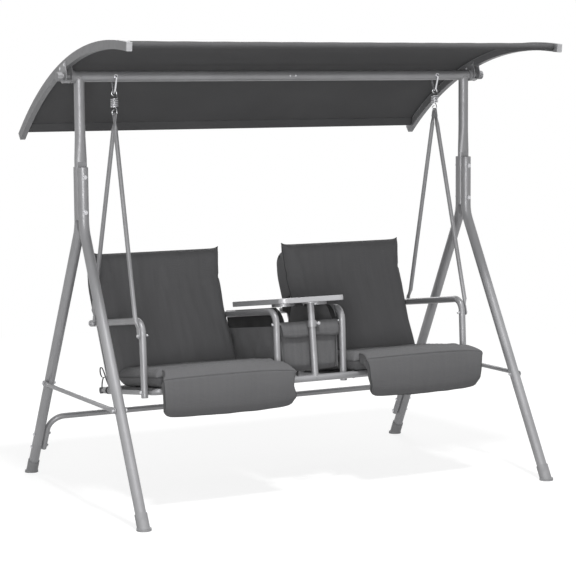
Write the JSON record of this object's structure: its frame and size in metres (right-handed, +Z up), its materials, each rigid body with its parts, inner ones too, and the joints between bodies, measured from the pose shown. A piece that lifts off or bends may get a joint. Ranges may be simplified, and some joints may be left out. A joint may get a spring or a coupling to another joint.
{
  "type": "canopy swing",
  "caption": "Free-standing garden swing: tubular A-frame, tilting arched canopy, sprung seat unit with padded seats, pivoting table with cup wells and a storage bag.",
  "frame": {"origin": "on the ground, under the middle of the top bar, at the bottom centre of the whole", "axes": "+X to the right of a viewer in front, +Y to the rear, +Z up"},
  "size_m": [1.7806, 1.1638, 1.637],
  "materials": {
    "frame_paint": "satin silver-grey powder coat",
    "zinc": "bright zinc plate",
    "grey_plastic": "moulded, matt",
    "table_plastic": "silver-grey, satin",
    "cup_steel": "brushed",
    "canopy_fabric": "dark grey woven polyester",
    "sling_fabric": "dark coated mesh",
    "cushion_fabric": "dark grey woven polyester over soft filling",
    "bag_fabric": "dark grey woven polyester"
  },
  "bodies": {
    "stand": {"top_bar_left": "frame_paint", "top_bar_right": "frame_paint", "bar_joint_screws": "zinc", "left_upright": "frame_paint", "right_upright": "frame_paint", "left_front_leg": "frame_paint", "left_rear_leg": "frame_paint", "right_front_leg": "frame_paint", "right_rear_leg": "frame_paint", "rear_crossbar": "frame_paint", "side_braces": "frame_paint", "foot_caps": "grey_plastic", "stand_bolts": "zinc", "hanging_links": "zinc", "link_eyelets": "zinc", "bar_end_plugs": "grey_plastic", "pivot_studs": "zinc"},
    "canopy": {"canopy_left_rail": "frame_paint", "canopy_right_rail": "frame_paint", "canopy_brackets": "frame_paint", "rail_end_caps": "grey_plastic", "bracket_rivets": "zinc", "canopy_cross_tubes": "frame_paint", "canopy_cloth": "canopy_fabric"},
    "left_knob": {"left_canopy_knob": "grey_plastic"},
    "right_knob": {"right_canopy_knob": "grey_plastic"},
    "suspension": {"left_spring": "zinc", "right_spring": "zinc"},
    "seat": {"seat_base_tube": "frame_paint", "seat_rear_rail": "frame_paint", "seat_inner_rails": "frame_paint", "left_outer_armrest": "frame_paint", "left_inner_armrest": "frame_paint", "right_inner_armrest": "frame_paint", "right_outer_armrest": "frame_paint", "armrest_caps": "grey_plastic", "left_front_hanger": "frame_paint", "left_rear_hanger": "frame_paint", "right_front_hanger": "frame_paint", "right_rear_hanger": "frame_paint", "seat_bolts": "zinc", "left_back_frame": "frame_paint", "right_back_frame": "frame_paint", "seat_slings": "sling_fabric", "back_slings": "sling_fabric", "left_seat_cushion": "cushion_fabric", "right_seat_cushion": "cushion_fabric", "left_back_cushion": "cushion_fabric", "right_back_cushion": "cushion_fabric", "left_front_bolster": "cushion_fabric", "right_front_bolster": "cushion_fabric", "table_post": "frame_paint", "table_collar": "frame_paint", "storage_bag": "bag_fabric", "bag_rods": "frame_paint"},
    "table": {"table_spindle": "frame_paint", "table_hub": "frame_paint", "table_top": "table_plastic", "cup_liners": "cup_steel"},
    "table_lock": {"table_lock_knob": "zinc"}
  },
  "joints": [
    {"name": "canopy_tilt", "type": "hinge", "parent": "stand", "child": "canopy", "pos_m": [0, 0, 1.52], "axis": [1, 0, 0], "range_deg": [-15, 20]},
    {"name": "left_knob_turn", "type": "hinge", "parent": "stand", "child": "left_knob", "pos_m": [-0.88, 0, 1.52], "axis": [1, 0, 0], "continuous": true},
    {"name": "right_knob_turn", "type": "hinge", "parent": "stand", "child": "right_knob", "pos_m": [0.88, 0, 1.52], "axis": [1, 0, 0], "continuous": true},
    {"name": "seat_swing", "type": "hinge", "parent": "stand", "child": "suspension", "pos_m": [0, 0, 1.46905], "axis": [1, 0, 0], "range_deg": [-20, 20]},
    {"name": "seat_bounce", "type": "slide", "parent": "suspension", "child": "seat", "axis": [0, 0, 1], "range_m": [-0.025, 0], "stiffness_N_per_m": 86000, "springref_m": 0.006, "deforming": ["left_spring", "right_spring"]},
    {"name": "table_swivel", "type": "hinge", "parent": "seat", "child": "table", "pos_m": [0, -0.22642, 0.62329], "axis": [0, 0.1253, 0.9921], "range_deg": [-90, 90]},
    {"name": "table_lock_turn", "type": "hinge", "parent": "seat", "child": "table_lock", "pos_m": [0.027, -0.22792, 0.61138], "axis": [1, 0, 0], "continuous": true}
  ]
}
